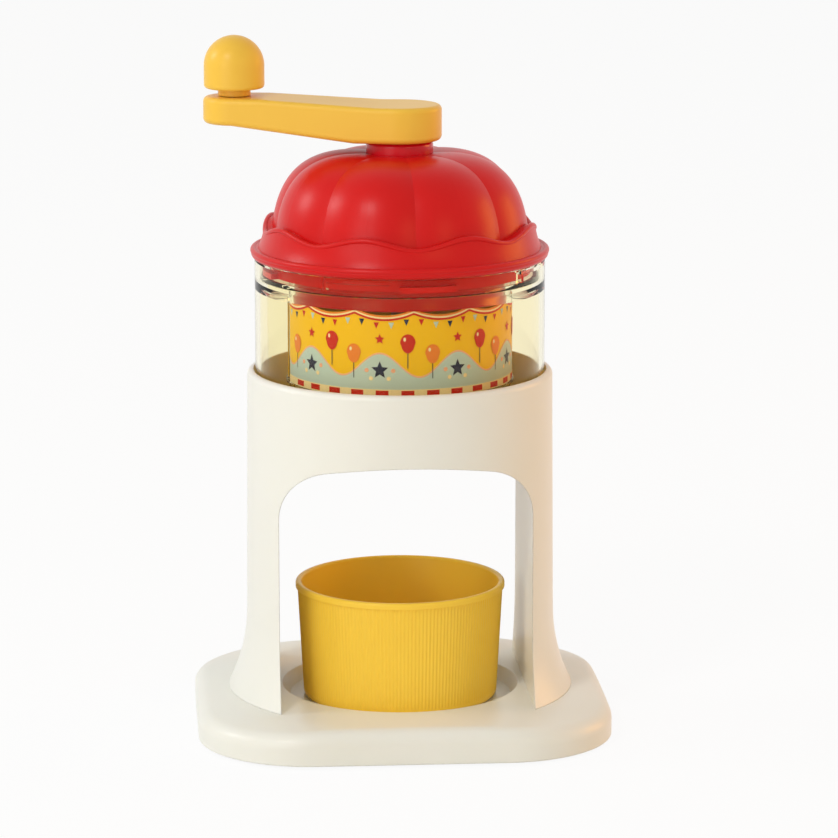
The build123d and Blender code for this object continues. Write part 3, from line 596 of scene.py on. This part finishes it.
@dataclass
class PrintedSleeve(SubAssembly):
    """The printed film round the hopper: hills under a scalloped trim, with balloons and stars.

    The film is the CAD node. Each ink lies on it as its own thin layer, wrapped round the crank
    axis, and leaves out the slot where the hopper's key comes through.
    """

    body: str = "hopper_unit"
    radius: float = field(init=False)  # of the film's outer face
    bottom: float = field(init=False)
    top: float = field(init=False)
    # The film's scalloped edge and its slot.
    waves: int = 12
    wave_depth: float = 2.6
    wave_phase: float = -72.0  # direction of one low point of the edge
    slot_direction: float = 183.0
    slot_turn: float = 14.6  # degrees that the slot and its margins take
    # How the inks are laid.
    ink: float = 0.04
    film_gap: float = 0.03  # between the film and the lowest ink
    ink_gap: float = 0.02  # between one ink and the next
    ribbon_steps: int = 360
    strip: float = 1.4  # widest flat facet of a wrapped shape
    cut_slack: float = 1e-5  # how near to a cut a vertex counts as on it
    round_corners: int = 28
    star_waist: float = 0.45  # radius of a star's inner corners as a share of its outer ones
    balloon_foot: tuple[float, float] = (0.88, 1.12)  # how its lower half narrows and lengthens
    # Lines and hills, with heights above the film's lower edge.
    trims: tuple[tuple[float, float, str], ...] = (
        (0.05, 0.75, "ink_orange"),
        (0.75, 1.45, "ink_cream"),
        (1.45, 2.35, "ink_red"),
    )
    hill_count: int = 9
    hill_foot: float = 0.1
    hill_low: float = 9.0
    hill_high: float = 19.0
    hill_phase: float = -104.0  # direction of one crest
    hill_line: float = 0.7
    foot_line: tuple[float, float] = (0.2, 3.4)
    dash_count: int = 28
    dash_size: tuple[float, float] = (5.4, 2.3)
    dash_height: float = 1.8
    # Figures: sizes are width and height, and shifts are in degrees.
    pennants_per_wave: int = 4
    pennant_size: tuple[float, float] = (2.3, 2.7)
    pennant_drop: float = 4.0
    balloons: tuple[tuple[float, float, str], ...] = (
        (-6.0, 1.5, "ink_red"),
        (6.5, -3.0, "ink_orange"),
    )
    balloon_size: tuple[float, float] = (6.4, 7.6)
    balloon_height: float = 21.5
    string_size: tuple[float, float] = (0.35, 6.4)
    string_drop: float = 7.4
    shine_size: tuple[float, float] = (1.1, 1.7)
    shine_shift: float = -1.6
    shine_lift: float = 1.6
    large_star: tuple[float, float] = (7.0, 7.0)
    large_star_height: float = 11.5
    small_star: tuple[float, float] = (4.2, 4.2)
    small_star_height: float = 24.6
    dot_size: tuple[float, float] = (1.8, 1.8)
    dot_shift: float = 4.5
    dot_shift_step: float = 2.2
    dot_height: float = 8.0
    dot_height_step: float = 3.4

    def build(self) -> None:
        """Dresses the film and lays the inks on it."""
        self.dress("printed_sleeve", "ink_yellow")
        low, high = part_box("printed_sleeve")
        self.radius = high.y / MM
        self.bottom = low.z / MM
        self.top = high.z / MM
        self.hills()
        for near, far, ink in self.trims:
            self.trim(near, far, ink)
        self.dashes()
        self.bunting()
        self.sky()

    def edge(self, direction: float) -> float:
        """Finds how high the film's scalloped edge is.

        Args:
            direction: The direction in degrees.

        Returns:
            The height in mm.
        """
        span = 360 / self.waves
        turn = turn_from(direction, self.wave_phase, span)
        across = math.radians(turn) * self.radius
        half = self.radius * math.sin(math.radians(span / 2))
        return self.top - self.wave_depth * (1 - (across / half) ** 2)

    def hill(self, direction: float) -> float:
        """Finds how high the hills' outline is.

        Args:
            direction: The direction in degrees.

        Returns:
            The height in mm.
        """
        swing = math.cos(math.radians((direction - self.hill_phase) * self.hill_count))
        middle = (self.hill_low + self.hill_high) / 2
        return self.bottom + middle + swing * (self.hill_high - self.hill_low) / 2

    def wrap(self, bm: bmesh.types.BMesh, layer: Layer) -> None:
        """Bends a flat shape round the film and gives it an ink's thickness.

        Args:
            bm: The shape, with the direction in degrees as x and the height in mm as y.
            layer: The layer that it lies in.
        """
        reach = (self.radius + self.film_gap + layer * (self.ink + self.ink_gap)) * MM
        for vert in bm.verts:
            turn = math.radians(vert.co.x)
            vert.co = Vector((reach * math.cos(turn), reach * math.sin(turn), vert.co.y * MM))
        bmesh.ops.recalc_face_normals(bm, faces=bm.faces)
        bm.faces.ensure_lookup_table()
        first = bm.faces[0]
        if first.normal.dot(Vector((*first.calc_center_median().xy, 0))) < 0:
            bmesh.ops.reverse_faces(bm, faces=bm.faces)
        bmesh.ops.solidify(bm, geom=bm.faces, thickness=-self.ink * MM)

    def ribbon(
        self,
        name: str,
        lower: Callable[[float], float],
        upper: Callable[[float], float],
        ink: str,
        layer: Layer,
    ) -> None:
        """Lays a band round the film between two outlines.

        Args:
            name: Name of the piece.
            lower: Function from a direction in degrees to the band's lower edge in mm.
            upper: The same for its upper edge.
            ink: Name of the finish.
            layer: The layer that it lies in.
        """
        start = self.slot_direction + self.slot_turn / 2
        span = 360 - self.slot_turn
        bm = bmesh.new()
        bmesh.ops.create_grid(bm, x_segments=self.ribbon_steps, y_segments=1, size=0.5)
        for vert in bm.verts:
            direction = start + (vert.co.x + 0.5) * span
            height = upper(direction) if vert.co.y > 0 else lower(direction)
            vert.co = Vector((direction, height, 0))
        self.wrap(bm, layer)
        self.add(name, bm, ink, "printed_film")

    def trim(self, near: float, far: float, ink: str) -> None:
        """Lays one line of the trim along the scalloped edge.

        Args:
            near: Distance in mm of its upper side from the edge.
            far: Distance in mm of its lower side from the edge.
            ink: Name of the finish.
        """
        self.ribbon(
            f"print_trim_{ink}",
            lambda direction: self.edge(direction) - far,
            lambda direction: self.edge(direction) - near,
            ink,
            Layer.LINE,
        )

    def hills(self) -> None:
        """Lays the pale hills along the lower half and the line that edges them."""
        self.ribbon(
            "print_hills",
            lambda _: self.bottom + self.hill_foot,
            self.hill,
            "ink_pale_blue",
            Layer.GROUND,
        )
        self.ribbon(
            "print_hill_line",
            lambda direction: self.hill(direction) - self.hill_line,
            self.hill,
            "ink_pink",
            Layer.LINE,
        )

    def flat(self, motif: Motif, width: float, height: float) -> bmesh.types.BMesh:
        """Makes one motif flat, in mm about its middle.

        Args:
            motif: Which shape.
            width: Its width in mm.
            height: Its height in mm.

        Returns:
            The flat shape.
        """
        bm = bmesh.new()
        straight = {Motif.STAR: 10, Motif.PENNANT: 3, Motif.DASH: 4}
        corners = straight.get(motif, self.round_corners)
        bmesh.ops.create_circle(bm, cap_ends=True, segments=corners, radius=0.5)
        bm.verts.ensure_lookup_table()
        if motif is Motif.STAR:
            inner = [vert for number, vert in enumerate(bm.verts) if number % 2]
            bmesh.ops.scale(bm, vec=(self.star_waist, self.star_waist, 1), verts=inner)
        turn = {Motif.PENNANT: math.pi, Motif.DASH: math.pi / 4}.get(motif, 0.0)
        bmesh.ops.rotate(bm, cent=(0, 0, 0), matrix=Matrix.Rotation(turn, 3, "Z"), verts=bm.verts)
        spread_x = max(v.co.x for v in bm.verts) - min(v.co.x for v in bm.verts)
        spread_y = max(v.co.y for v in bm.verts) - min(v.co.y for v in bm.verts)
        bmesh.ops.scale(bm, vec=(width / spread_x, height / spread_y, 1), verts=bm.verts)
        if motif is Motif.BALLOON:
            lower = [vert for vert in bm.verts if vert.co.y < 0]
            bmesh.ops.scale(bm, vec=(*self.balloon_foot, 1), verts=lower)
        return bm

    def scatter(
        self,
        name: str,
        motif: Motif,
        size: tuple[float, float],
        places: list[tuple[float, float]],
        ink: str,
        layer: Layer,
    ) -> None:
        """Prints one motif at several places as one piece.

        Args:
            name: Name of the piece.
            motif: Which shape.
            size: Its width and height in mm.
            places: Direction in degrees and height in mm of each.
            ink: Name of the finish.
            layer: The layer that it lies in.
        """
        sheet = bmesh.new()
        per_degree = self.radius * math.radians(1)
        margin = self.slot_turn / 2 + math.degrees(size[0] / 2 / self.radius)
        for direction, height in places:
            if abs(turn_from(direction, self.slot_direction, 360)) < margin:
                continue
            shape = self.flat(motif, *size)
            # Cut into upright strips, it bends with the film.
            strips = int(size[0] / self.strip) + 1
            for cut in range(1, strips):
                bmesh.ops.bisect_plane(
                    shape,
                    geom=shape.verts[:] + shape.edges[:] + shape.faces[:],
                    dist=self.cut_slack,
                    plane_co=(size[0] * (cut / strips - 0.5), 0, 0),
                    plane_no=(1, 0, 0),
                )
            for vert in shape.verts:
                vert.co = Vector((direction + vert.co.x / per_degree, height + vert.co.y, 0))
            loose = bpy.data.meshes.new("one_motif")
            shape.to_mesh(loose)
            shape.free()
            sheet.from_mesh(loose)
            bpy.data.meshes.remove(loose)
        self.wrap(sheet, layer)
        self.add(name, sheet, ink, "printed_film")

    def dashes(self) -> None:
        """Prints the dashes along the foot, on a pale line."""
        low, high = self.foot_line
        self.ribbon(
            "print_foot_line",
            lambda _: self.bottom + low,
            lambda _: self.bottom + high,
            "ink_cream",
            Layer.LINE,
        )
        places = [
            (turn * 360 / self.dash_count, self.bottom + self.dash_height)
            for turn in range(self.dash_count)
        ]
        self.scatter(
            "print_dashes", Motif.DASH, self.dash_size, places, "ink_red", Layer.FIGURE
        )

    def bunting(self) -> None:
        """Prints the small pennants that hang under the trim, in three inks by turns."""
        inks = ("ink_navy", "ink_red", "ink_pale_blue")
        count = self.waves * self.pennants_per_wave
        directions = [self.wave_phase + (turn + 0.5) * 360 / count for turn in range(count)]
        for number, ink in enumerate(inks):
            places = [
                (direction, self.edge(direction) - self.pennant_drop)
                for direction in directions[number :: len(inks)]
            ]
            self.scatter(
                f"print_bunting_{ink}",
                Motif.PENNANT,
                self.pennant_size,
                places,
                ink,
                Layer.LINE,
            )

    def sky(self) -> None:
        """Prints the balloons over the dips between the hills, and the stars and the dots."""
        step = 360 / self.hill_count
        first = self.hill_phase + step / 2
        dips = [first + turn * step for turn in range(self.hill_count)]
        crests = [self.hill_phase + turn * step for turn in range(self.hill_count)]
        for shift, lift, ink in self.balloons:
            self.balloon_row([direction + shift for direction in dips], lift, ink)
        for name, size, height, ink in (
            ("print_stars_navy", self.large_star, self.large_star_height, "ink_navy"),
            ("print_stars_red", self.small_star, self.small_star_height, "ink_red"),
        ):
            places = [(direction, self.bottom + height) for direction in crests]
            self.scatter(name, Motif.STAR, size, places, ink, Layer.FIGURE)
        for number, ink in enumerate(("ink_cream", "ink_pink")):
            shift = self.dot_shift + self.dot_shift_step * number
            height = self.bottom + self.dot_height + self.dot_height_step * number
            dots = [(direction + side * shift, height) for direction in crests for side in (-1, 1)]
            self.scatter(
                f"print_dots_{ink}", Motif.DOT, self.dot_size, dots, ink, Layer.FIGURE
            )

    def balloon_row(self, directions: list[float], lift: float, ink: str) -> None:
        """Prints one row of balloons with their strings and shines.

        Args:
            directions: Direction in degrees of each.
            lift: How far in mm the row lies above the balloons' usual height.
            ink: Name of the balloons' finish.
        """
        name = ink.removeprefix("ink_")
        middle = self.bottom + self.balloon_height + lift
        strings = [(direction, middle - self.string_drop) for direction in directions]
        self.scatter(
            f"print_strings_{name}",
            Motif.DASH,
            self.string_size,
            strings,
            "ink_navy",
            Layer.FIGURE,
        )
        balloons = [(direction, middle) for direction in directions]
        self.scatter(
            f"print_balloons_{name}",
            Motif.BALLOON,
            self.balloon_size,
            balloons,
            ink,
            Layer.BALLOON,
        )
        shines = [
            (direction + self.shine_shift, middle + self.shine_lift) for direction in directions
        ]
        self.scatter(
            f"print_shines_{name}", Motif.DOT, self.shine_size, shines, "ink_cream", Layer.SHINE
        )


@dataclass
class Lid(SubAssembly):
    """The lobed lid with its wavy band, the bayonet ring, the collar and the shaft bush."""

    body: str = "lid"
    wave_radius: float = 57.4
    wave_crest: float = 217.6
    wave_trough: float = 213.4
    lobes: int = 8
    groove_direction: float = -86.5
    bead_radius: float = 1.15
    bead_inset: float = 0.45  # share of its radius that it lies inside wave_radius
    bead_drop: float = 0.35  # share of its radius that it lies below the edge
    bead_corners: int = 14
    rim_radius: float = 62.0
    rim_height: float = 205.2
    rim_bead: float = 1.35
    skirt: Section = ((53.4, 196.1), (55.4, 196.1), (55.4, 202.0), (53.4, 202.0))
    mouth: Section = ((42.7, 185.6), (44.1, 185.6), (45.5, 202.0), (42.7, 202.0))
    steps_per_lobe: int = 36

    @property
    def steps(self) -> int:
        """How many steps the lid's spun pieces take round the crank axis."""
        return self.lobes * self.steps_per_lobe

    def wave(self, direction: float) -> float:
        """Finds how high the band's wavy edge is.

        Args:
            direction: The direction in radians.

        Returns:
            The height in mm.
        """
        span = FULL_TURN / self.lobes
        turn = turn_from(direction, math.radians(self.groove_direction), span)
        share = min(1.0, abs(math.sin(turn)) / math.sin(span / 2))
        rise = share * share * (3 - 2 * share)  # level at the trough and at the crest
        return self.wave_trough + (self.wave_crest - self.wave_trough) * rise

    def bead(self, reach: float, radius: float) -> bmesh.types.BMesh:
        """Spins a round bead about the crank axis, at height 0.

        Args:
            reach: Distance in mm of the bead's middle from the axis.
            radius: The bead's own radius in mm.

        Returns:
            The closed ring.
        """
        bm = bmesh.new()
        bmesh.ops.create_circle(bm, segments=self.bead_corners, radius=radius * MM)
        bmesh.ops.rotate(
            bm, cent=(0, 0, 0), matrix=Matrix.Rotation(math.pi / 2, 3, "X"), verts=bm.verts
        )
        bmesh.ops.translate(bm, vec=(reach * MM, 0, 0), verts=bm.verts)
        spin_round(bm, self.steps)
        return bm

    def edge_bead(self) -> None:
        """Lays the rounded bead along the band's wavy edge."""
        bm = self.bead(
            self.wave_radius - self.bead_radius * self.bead_inset, self.bead_radius
        )
        for vert in bm.verts:
            edge = self.wave(math.atan2(vert.co.y, vert.co.x))
            vert.co.z += (edge - self.bead_radius * self.bead_drop) * MM
        self.add("lid_edge_bead", bm, "moulded_red", "red_plastic")

    def rolled_rim(self) -> None:
        """Lays the bead that stiffens the flange's outer edge."""
        bm = self.bead(self.rim_radius, self.rim_bead)
        bmesh.ops.translate(bm, vec=(0, 0, self.rim_height * MM), verts=bm.verts)
        self.add("lid_rolled_rim", bm, "moulded_red", "red_plastic")

    def ring(self, name: str, section: Section) -> None:
        """Spins one of the lid's walls that show red through the clear case.

        Args:
            name: Name of the piece.
            section: The corners of the wall's section, in order.
        """
        bm = bmesh.new()
        draw_section(bm, section, closed=True)
        spin_round(bm, self.steps)
        self.add(name, bm, "moulded_red", "red_plastic")

    def build(self) -> None:
        """Dresses the lid's pieces and adds the beads and the walls under the flange."""
        self.dress("lid_dome", "moulded_red")
        self.dress("lid_ring", "moulded_red")
        self.dress("lid_screws", "plated_steel")
        self.dress("top_collar", "moulded_red_gloss")
        self.dress("shaft_bush", "moulded_nylon")
        self.edge_bead()
        self.rolled_rim()
        self.ring("lid_skirt", self.skirt)
        self.ring("lid_mouth_wall", self.mouth)


@dataclass
class Crank(SubAssembly):
    """The crank arm, its drive tube and what holds them together."""

    body: str = "crank"

    def coil_spring(self) -> None:
        """Gives the spring a copy of its own mesh on the crank's body and hides the CAD node."""
        bm = bmesh.new()
        bm.from_mesh(self.frame["nodes"]["presser_spring"].data)
        spring = self.add("coil_spring", bm, "plated_steel", "steel")
        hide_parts("presser_spring")
        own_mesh(spring)

    def build(self) -> None:
        """Dresses the crank and fits its spring."""
        self.dress("crank_arm", "moulded_yellow")
        for node in ("drive_tube", "crank_screw", "thrust_washers", "retaining_clip", "knob_pin"):
            self.dress(node, "plated_steel")
        self.coil_spring()


@dataclass
class Knob(SubAssembly):
    """The round-topped knob that spins on the crank's pin."""

    body: str = "knob"

    def build(self) -> None:
        """Dresses the knob."""
        self.dress("crank_knob", "moulded_yellow")


@dataclass
class Presser(SubAssembly):
    """The spiked presser on its square stem."""

    body: str = "presser"

    def build(self) -> None:
        """Dresses the presser."""
        self.dress("ice_presser", "moulded_white")
        self.dress("presser_stem", "plated_steel")
        self.dress("presser_screw", "plated_steel")


@dataclass
class Cup(SubAssembly):
    """The ice cup: a plain bowl with a rolled rim and fine upright ribs round its wall."""

    body: str = "cup"
    rim_radius: float = 45.0
    wall_top_radius: float = 44.2
    bottom_radius: float = 41.7
    wall: float = 1.8
    floor: float = 2.2
    bead_height: float = 2.6
    bead_round: float = 0.42  # share of its height that the rim's edges are rounded by
    bottom_round: float = 2.4
    round_steps: int = 6
    plain_foot: float = 0.4  # upright stretch between the rounded foot and the slope
    rib_count: int = 172
    rib_depth: float = 0.34
    rib_fade: float = 0.8
    steps_per_rib: int = 4

    def profile(self, low: float, high: float) -> bmesh.types.BMesh:
        """Draws half of the cup's section in the XZ plane.

        Args:
            low: Height of its underside in mm.
            high: Height of its rim in mm.

        Returns:
            The section, as a wire from the axis round and back to the axis.
        """
        wall_low, wall_high = low + self.bottom_round, high - self.bead_height
        slope = (self.wall_top_radius - self.bottom_radius) / (wall_high - wall_low)
        fade_low = self.bottom_radius + slope * self.rib_fade
        fade_high = self.wall_top_radius - slope * self.rib_fade
        rim_round = self.bead_height * self.bead_round
        corners = (
            (0, low, 0),
            (self.bottom_radius, low, self.bottom_round),
            (self.bottom_radius, wall_low + self.plain_foot, 0),
            (fade_low, wall_low + self.rib_fade + self.plain_foot, 0),
            (fade_high, wall_high - self.rib_fade, 0),
            (self.wall_top_radius, wall_high, 0),
            (self.rim_radius, wall_high, 0),
            (self.rim_radius, high, rim_round),
            (self.wall_top_radius - self.wall, high, rim_round),
            (self.bottom_radius - self.wall, low + self.floor, self.floor),
            (0, low + self.floor, 0),
        )
        bm = bmesh.new()
        wire = draw_section(bm, [(radius, height) for radius, height, _ in corners], closed=False)
        for vert, (_, _, rounding) in zip(wire, corners):
            if rounding:
                bmesh.ops.bevel(
                    bm,
                    geom=[vert],
                    offset=rounding * MM,
                    affect="VERTICES",
                    segments=self.round_steps,
                    profile=0.5,
                    material=-1,
                )
        return bm

    def build(self) -> None:
        """Spins the cup, presses the ribs into its wall and hides the plain node."""
        low, high = (corner.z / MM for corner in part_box("ice_cup"))
        bm = self.profile(low, high)
        spin_round(bm, self.rib_count * self.steps_per_rib)
        bmesh.ops.remove_doubles(bm, verts=bm.verts, dist=WELD)
        wall_low = low + self.bottom_round + self.rib_fade
        wall_high = high - self.bead_height - self.rib_fade / 2
        for vert in bm.verts:
            reach = math.hypot(vert.co.x, vert.co.y)
            outside = reach > (self.bottom_radius - self.wall / 2) * MM
            if outside and wall_low * MM < vert.co.z < wall_high * MM:
                turn = math.atan2(vert.co.y, vert.co.x) * self.rib_count
                depth = self.rib_depth * MM * (0.5 - 0.5 * math.cos(turn))
                vert.co.xy *= 1 - depth / reach
        cup = self.add("ribbed_cup", bm, "moulded_cup_yellow", "cup_plastic")
        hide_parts("ice_cup")


# ---------------------------------------------------------------- studio


@dataclass(frozen=True)
class SoftLamp:
    """A square soft lamp, with its place and side in metres and its power in watts."""

    name: str
    place: tuple[float, float, float]
    side: float
    power: float
    colour: str

    def hang(self, target: Vector) -> None:
        """Hangs the lamp so that it faces a point.

        Args:
            target: The point, in metres.
        """
        data = bpy.data.lights.new(self.name, "AREA")
        data.size = self.side
        data.energy = self.power
        data.color = linear(self.colour)[:3]
        lamp = bpy.data.objects.new(self.name, data)
        lamp.location = self.place
        aim = target - Vector(self.place)
        lamp.rotation_euler = aim.to_track_quat("-Z", "Y").to_euler()
        bpy.context.scene.collection.objects.link(lamp)


@dataclass
class Studio:
    """Floor, light and camera; none of it belongs to the object."""

    azimuth: float = -4.0  # direction of the camera from the front, in degrees
    away: float = 1.740  # distance of the camera from the crank axis
    height: float = 0.487  # of the camera
    pitch: float = 11.55  # how far the camera looks down, in degrees
    aside: float = 0.269  # how far it looks past the crank axis, in degrees
    lens: float = 178.5  # focal length in mm
    sensor: float = 36.0  # width in mm
    clip_end: float = 50.0
    floor_size: float = 12.0
    floor_colour: str = "#F4F3F0"
    floor_roughness: float = 0.9
    floor_specular: float = 0.1
    floor_white: float = 0.92  # how far the floor goes to plain white where it is looked at
    ambient_colour: str = "#FFFEF8"
    ambient: float = 0.43
    white: str = "#FFFFFF"
    bounces: int = 32  # a ray can cross a dozen clear surfaces and reflect between them
    lamp_target: float = 0.15  # height of the point that the lamps face
    lamps: tuple[SoftLamp, ...] = (
        SoftLamp("key_lamp", (-0.95, -1.3, 1.5), 0.34, 10.0, "#FFFFFF"),
        SoftLamp("window_lamp", (-1.75, 0.3, 1.1), 0.5, 9.0, "#FFFFFF"),
        SoftLamp("front_lamp", (-1.3, -1.7, 0.5), 1.2, 9.5, "#FFFFFF"),
        SoftLamp("right_lamp", (0.95, -1.9, 0.75), 0.6, 3.0, "#FFD68C"),
        SoftLamp("fill_lamp", (1.7, 0.45, 0.5), 0.8, 11.0, "#FFAC28"),
    )

    def background_share(self, tree: bpy.types.NodeTree) -> bpy.types.NodeSocket:
        """Finds the rays that see the background: from the camera, off gloss and through glass.

        Args:
            tree: The node tree that takes the nodes.

        Returns:
            A socket that is 1 for those rays and 0 for the others.
        """
        rays = add_node(tree, "ShaderNodeLightPath")
        through = add_node(
            tree,
            "ShaderNodeMath",
            {0: rays.outputs["Is Camera Ray"], 1: rays.outputs["Is Transmission Ray"]},
            operation="MAXIMUM",
        )
        return add_node(
            tree,
            "ShaderNodeMath",
            {0: through.outputs["Value"], 1: rays.outputs["Is Glossy Ray"]},
            operation="MAXIMUM",
        ).outputs["Value"]

    def floor(self) -> None:
        """Lays the plain pale floor, which keeps a soft part of the object's shadow."""
        bm = bmesh.new()
        bmesh.ops.create_grid(bm, x_segments=1, y_segments=1, size=self.floor_size / 2)
        mesh = bpy.data.meshes.new("floor")
        bm.to_mesh(mesh)
        bm.free()
        ground = bpy.data.objects.new("floor", mesh)
        bpy.context.scene.collection.objects.link(ground)
        material = new_material("pale_floor")
        tree = material.node_tree
        matt = add_node(
            tree,
            "ShaderNodeBsdfPrincipled",
            {
                "Base Color": linear(self.floor_colour),
                "Roughness": self.floor_roughness,
                "Specular IOR Level": self.floor_specular,
            },
        )
        plain = add_node(
            tree, "ShaderNodeEmission", {"Color": linear(self.white), "Strength": 1.0}
        )
        share = add_node(
            tree,
            "ShaderNodeMath",
            {0: self.background_share(tree), 1: self.floor_white},
            operation="MULTIPLY",
        )
        mix = add_node(
            tree,
            "ShaderNodeMixShader",
            {
                "Fac": share.outputs["Value"],
                1: matt.outputs["BSDF"],
                2: plain.outputs["Emission"],
            },
        )
        add_node(tree, "ShaderNodeOutputMaterial", {"Surface": mix.outputs["Shader"]})
        mesh.materials.append(material)

    def light(self) -> None:
        """Sets the white surroundings and hangs the soft lamps."""
        world = bpy.data.worlds.new("studio")
        bpy.context.scene.world = world
        world.use_nodes = True
        tree = world.node_tree
        tree.nodes.clear()
        ambient = add_node(
            tree,
            "ShaderNodeBackground",
            {"Color": linear(self.ambient_colour), "Strength": self.ambient},
        )
        backdrop = add_node(
            tree, "ShaderNodeBackground", {"Color": linear(self.white), "Strength": 1.0}
        )
        mix = add_node(
            tree,
            "ShaderNodeMixShader",
            {
                "Fac": self.background_share(tree),
                1: ambient.outputs["Background"],
                2: backdrop.outputs["Background"],
            },
        )
        add_node(tree, "ShaderNodeOutputWorld", {"Surface": mix.outputs["Shader"]})
        for lamp in self.lamps:
            lamp.hang(Vector((0, 0, self.lamp_target)))

    def camera(self) -> None:
        """Places the camera at the photograph's viewing angle."""
        data = bpy.data.cameras.new("camera")
        data.lens = self.lens
        data.sensor_width = self.sensor
        data.clip_end = self.clip_end
        camera = bpy.data.objects.new("camera", data)
        turn = math.radians(self.azimuth)
        camera.location = (self.away * math.sin(turn), -self.away * math.cos(turn), self.height)
        heading = math.radians(-self.azimuth + self.aside)
        down = math.radians(self.pitch)
        gaze = Vector(
            (
                math.sin(heading) * math.cos(down),
                math.cos(heading) * math.cos(down),
                -math.sin(down),
            )
        )
        camera.rotation_euler = gaze.to_track_quat("-Z", "Y").to_euler()
        bpy.context.scene.collection.objects.link(camera)
        bpy.context.scene.camera = camera

    def build(self) -> None:
        """Sets up the whole studio."""
        scene = bpy.context.scene
        scene.view_settings.view_transform = "Standard"
        scene.cycles.max_bounces = self.bounces
        scene.cycles.transmission_bounces = self.bounces
        scene.cycles.transparent_max_bounces = self.bounces
        self.floor()
        self.light()
        self.camera()
        LOG.info("set up the studio")


def finishes() -> dict[str, bpy.types.Material]:
    """Makes every finish of the ice shaver.

    Returns:
        The Blender materials by name.
    """
    kinds = (
        # ABS from a satin mould: a soft broad highlight, warm white with some depth.
        MouldedPlastic("moulded_white", "#EFEEE6", "#EBEAE0", glow=0.06, edge_mm=0.7),
        # Rubber from a matte mould: hardly any highlight.
        MouldedPlastic("moulded_rubber", "#8A8880", "#7E7C75", MouldSkin.MATTE, 0.2),
        # Polypropylene in deep red: soft highlights on the lobes and no grey veil over the colour.
        MouldedPlastic("moulded_red", "#D41210", "#CC0F0E", specular=0.22),
        # The same red from a polished mould: a sharp highlight.
        MouldedPlastic("moulded_red_gloss", "#D01220", "#C80F1C", MouldSkin.POLISHED, 0.25),
        # Natural nylon: pale and a little dull.
        MouldedPlastic("moulded_nylon", "#E9E6DC", "#E2DED2", MouldSkin.SPARK_ERODED),
        # ABS in warm yellow, from a satin mould like the stand's: a soft highlight.
        MouldedPlastic("moulded_yellow", "#F3C44B", "#F0BE44", specular=0.22, edge_mm=0.5),
        # Polypropylene in a brighter yellow: light passes a little way into the thin wall.
        MouldedPlastic("moulded_cup_yellow", "#FFD54C", "#FDCE43", specular=0.2, glow=0.1),
        # SAN from a polished mould: clear and glossy, with faint flow lines.
        ClearPlastic("clear_san"),
        # The same plastic in the larger wall, where its faint straw tint shows.
        ClearPlastic("clear_san_warm", "#FDF8E2"),
        # Zinc plate: bright, with a slightly cloudy highlight.
        Steel("plated_steel"),
        # Ground stainless steel: a tighter highlight along the edge.
        Steel("ground_blade_steel", roughness=0.22),
        # Printing inks under one satin varnish.
        PrintedFilm("ink_yellow", "#F5C913"),
        PrintedFilm("ink_pale_blue", "#BEDAFA"),
        PrintedFilm("ink_pink", "#F2B9AE"),
        PrintedFilm("ink_cream", "#F8ECD6"),
        PrintedFilm("ink_orange", "#E9873A"),
        PrintedFilm("ink_red", "#C9291F"),
        PrintedFilm("ink_navy", "#232A52"),
    )
    return {kind.name: kind.build() for kind in kinds}


def main() -> None:
    """Builds the dressed ice shaver."""
    logging.basicConfig(level=logging.INFO, format="%(name)s: %(message)s")
    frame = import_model()
    made = finishes()
    for kind in (Base, Tower, ClearCase, BladeSet, PrintedSleeve, Lid, Crank, Knob, Presser, Cup):
        kind(frame, made).build()
        LOG.info("finished %s", kind.__name__)
    Studio().build()


if __name__ == "__main__":
    main()
